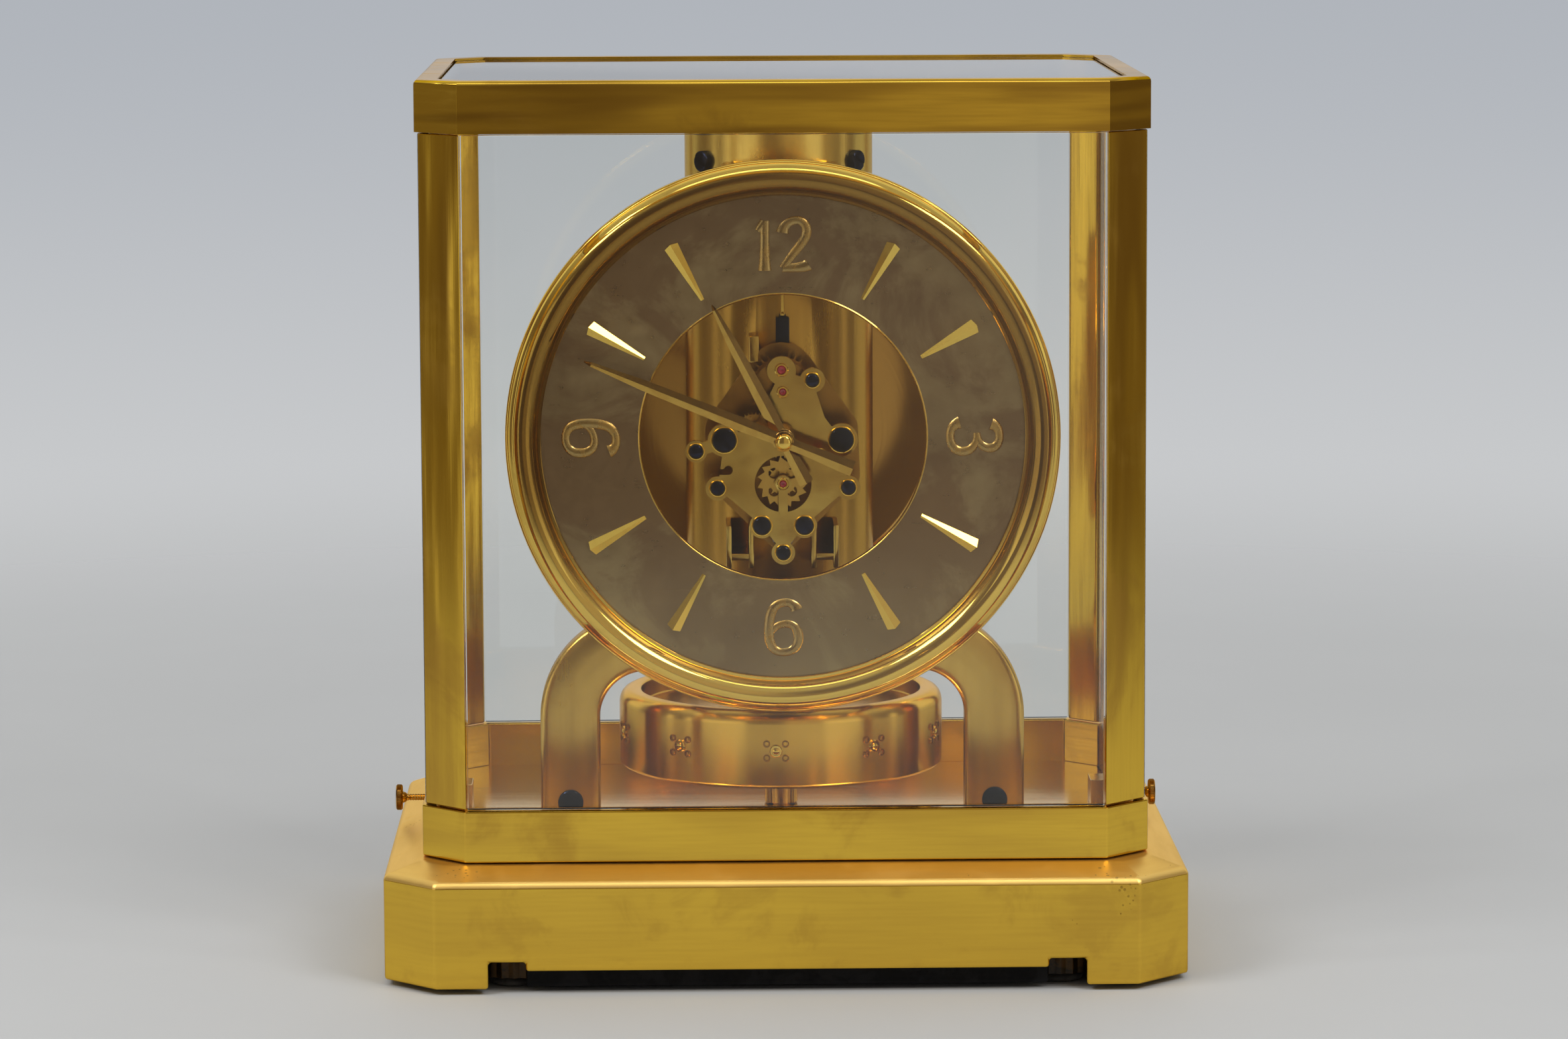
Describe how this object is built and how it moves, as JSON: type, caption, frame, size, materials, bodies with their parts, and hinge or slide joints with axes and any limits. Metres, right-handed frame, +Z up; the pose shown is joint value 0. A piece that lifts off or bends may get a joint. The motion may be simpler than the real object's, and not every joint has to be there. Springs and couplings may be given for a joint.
{
  "type": "atmospheric clock",
  "caption": "Torsion-pendulum mantel clock in a glazed brass cabinet, wound by a sealed capsule that answers changes in room temperature.",
  "frame": {"origin": "on the table under the middle of the plinth", "axes": "+Z up, the dial faces -Y, +X to the viewer's right"},
  "size_m": [0.21, 0.165, 0.235],
  "materials": {
    "gilt_brass": "polished and gilt, tarnished in places",
    "copper_plate": "polished, copper pink",
    "satin_brass": "satin",
    "dial_metal": "satin lacquer",
    "blued_steel": "blued",
    "steel": "bright",
    "black_paint": "matt black",
    "rubber": "matt",
    "glass": "clear"
  },
  "bodies": {
    "base": {"base_plinth": "gilt_brass", "main_column": "gilt_brass", "drum_housing": "gilt_brass", "drum_cap": "gilt_brass", "bezel": "gilt_brass", "movement_front_plate": "gilt_brass", "movement_back_plate": "gilt_brass", "base_plate": "copper_plate", "leg_left": "satin_brass", "leg_right": "satin_brass", "suspension_head": "satin_brass", "suspension_tube": "satin_brass", "lock_sleeve": "satin_brass", "level_housing": "satin_brass", "dial_ring": "dial_metal", "leg_screw_left": "blued_steel", "leg_screw_right": "blued_steel", "column_screw_left": "blued_steel", "column_screw_right": "blued_steel", "torsion_wire": "steel", "winding_chain": "steel", "expansion_capsule": "steel", "return_spring": "steel", "underside_cover": "black_paint", "rear_foot": "rubber", "level_vial": "glass"},
    "cover": {"cover_bottom_frame": "gilt_brass", "cover_top_frame": "gilt_brass", "corner_post_front_left": "gilt_brass", "corner_post_front_right": "gilt_brass", "corner_post_back_left": "gilt_brass", "corner_post_back_right": "gilt_brass", "glass_front": "glass", "glass_back": "glass", "glass_left": "glass", "glass_right": "glass", "glass_top": "glass"},
    "thumb_left": {"thumb_screw_left": "gilt_brass"},
    "thumb_right": {"thumb_screw_right": "gilt_brass"},
    "pendulum": {"pendulum_disc": "satin_brass", "pendulum_spindle": "satin_brass"},
    "minute": {"centre_wheel": "gilt_brass", "cannon_pinion": "steel", "minute_hand": "gilt_brass", "hand_nut": "gilt_brass"},
    "hour": {"hour_wheel": "gilt_brass", "hour_hand": "gilt_brass"},
    "minute_wheel": {"minute_wheel": "gilt_brass"},
    "third": {"third_wheel": "gilt_brass"},
    "escape": {"escape_wheel": "gilt_brass"},
    "barrel": {"barrel": "gilt_brass"},
    "pallets": {"pallet_lever": "steel"},
    "winder": {"winding_arbor": "steel"},
    "pressure": {"pressure_plate": "steel"},
    "lock_lever": {"lock_lever": "satin_brass"},
    "lock_plunger": {"lock_plunger": "steel"},
    "level_pad_left": {"levelling_pad_left": "rubber"},
    "level_pad_right": {"levelling_pad_right": "rubber"},
    "level_screw_left": {"levelling_screw_left": "satin_brass"},
    "level_screw_right": {"levelling_screw_right": "satin_brass"}
  },
  "joints": [
    {"name": "cover_lift", "type": "slide", "parent": "base", "child": "cover", "axis": [0, 0, 1], "range_m": [0, 0.21]},
    {"name": "thumb_left_out", "type": "slide", "parent": "cover", "child": "thumb_left", "axis": [-1, 0, 0], "range_m": [-0.003, 0.002]},
    {"name": "thumb_right_out", "type": "slide", "parent": "cover", "child": "thumb_right", "axis": [1, 0, 0], "range_m": [0, 0.005]},
    {"name": "pendulum_swing", "type": "hinge", "parent": "base", "child": "pendulum", "pos_m": [0, 0.006, 0.0555], "axis": [0, 0, 1], "range_deg": [-270, 270], "stiffness_Nm_per_rad": 0.0000088},
    {"name": "minute_turn", "type": "hinge", "parent": "base", "child": "minute", "pos_m": [0, 0, 0.1403], "axis": [0, 1, 0], "continuous": true},
    {"name": "hour_turn", "type": "hinge", "parent": "base", "child": "hour", "pos_m": [0, 0, 0.1403], "axis": [0, 1, 0], "continuous": true},
    {"name": "minute_wheel_turn", "type": "hinge", "parent": "base", "child": "minute_wheel", "pos_m": [-0.0075, 0, 0.1403], "axis": [0, 1, 0], "continuous": true},
    {"name": "third_turn", "type": "hinge", "parent": "base", "child": "third", "pos_m": [0.01, 0, 0.1353], "axis": [0, 1, 0], "continuous": true},
    {"name": "escape_turn", "type": "hinge", "parent": "base", "child": "escape", "pos_m": [0, 0, 0.1276], "axis": [0, 1, 0], "continuous": true},
    {"name": "barrel_turn", "type": "hinge", "parent": "base", "child": "barrel", "pos_m": [0, 0, 0.1519], "axis": [0, 1, 0], "continuous": true},
    {"name": "pallet_rock", "type": "hinge", "parent": "base", "child": "pallets", "pos_m": [0, 0, 0.1103], "axis": [0, 1, 0], "range_deg": [-4, 4]},
    {"name": "winding_turn", "type": "hinge", "parent": "base", "child": "winder", "pos_m": [0, 0, 0.1519], "axis": [0, 1, 0], "continuous": true},
    {"name": "capsule_expansion", "type": "slide", "parent": "base", "child": "pressure", "axis": [0, -1, 0], "range_m": [0, 0.002], "stiffness_N_per_m": 500, "deforming": ["return_spring", "expansion_capsule", "winding_chain"]},
    {"name": "lock_lever_turn", "type": "hinge", "parent": "base", "child": "lock_lever", "pos_m": [0, -0.04, 0.0349], "axis": [0, 0, 1], "range_deg": [0, 35]},
    {"name": "lock_plunger_rise", "type": "slide", "parent": "base", "child": "lock_plunger", "axis": [0, 0, 1], "range_m": [0, 0.0012]},
    {"name": "level_pad_left_down", "type": "slide", "parent": "base", "child": "level_pad_left", "axis": [0, 0, -1], "range_m": [0, 0.003]},
    {"name": "level_screw_left_turn", "type": "hinge", "parent": "level_pad_left", "child": "level_screw_left", "pos_m": [-0.071, -0.067, 0.005], "axis": [0, 0, 1], "range_deg": [0, 1350]},
    {"name": "level_pad_right_down", "type": "slide", "parent": "base", "child": "level_pad_right", "axis": [0, 0, -1], "range_m": [0, 0.003]},
    {"name": "level_screw_right_turn", "type": "hinge", "parent": "level_pad_right", "child": "level_screw_right", "pos_m": [0.071, -0.067, 0.005], "axis": [0, 0, 1], "range_deg": [0, 1350]}
  ],
  "couplings": [
    {"joint": "hour_turn", "follows": "minute_turn", "ratio": 0.083333},
    {"joint": "minute_wheel_turn", "follows": "minute_turn", "ratio": -0.33333},
    {"joint": "third_turn", "follows": "minute_turn", "ratio": -2},
    {"joint": "escape_turn", "follows": "minute_turn", "ratio": 4},
    {"joint": "barrel_turn", "follows": "minute_turn", "ratio": -0.33333},
    {"joint": "lock_plunger_rise", "follows": "lock_lever_turn", "m_per_rad": 0.0019644},
    {"joint": "level_pad_left_down", "follows": "level_screw_left_turn", "m_per_rad": 0.00012732},
    {"joint": "level_pad_right_down", "follows": "level_screw_right_turn", "m_per_rad": 0.00012732}
  ]
}
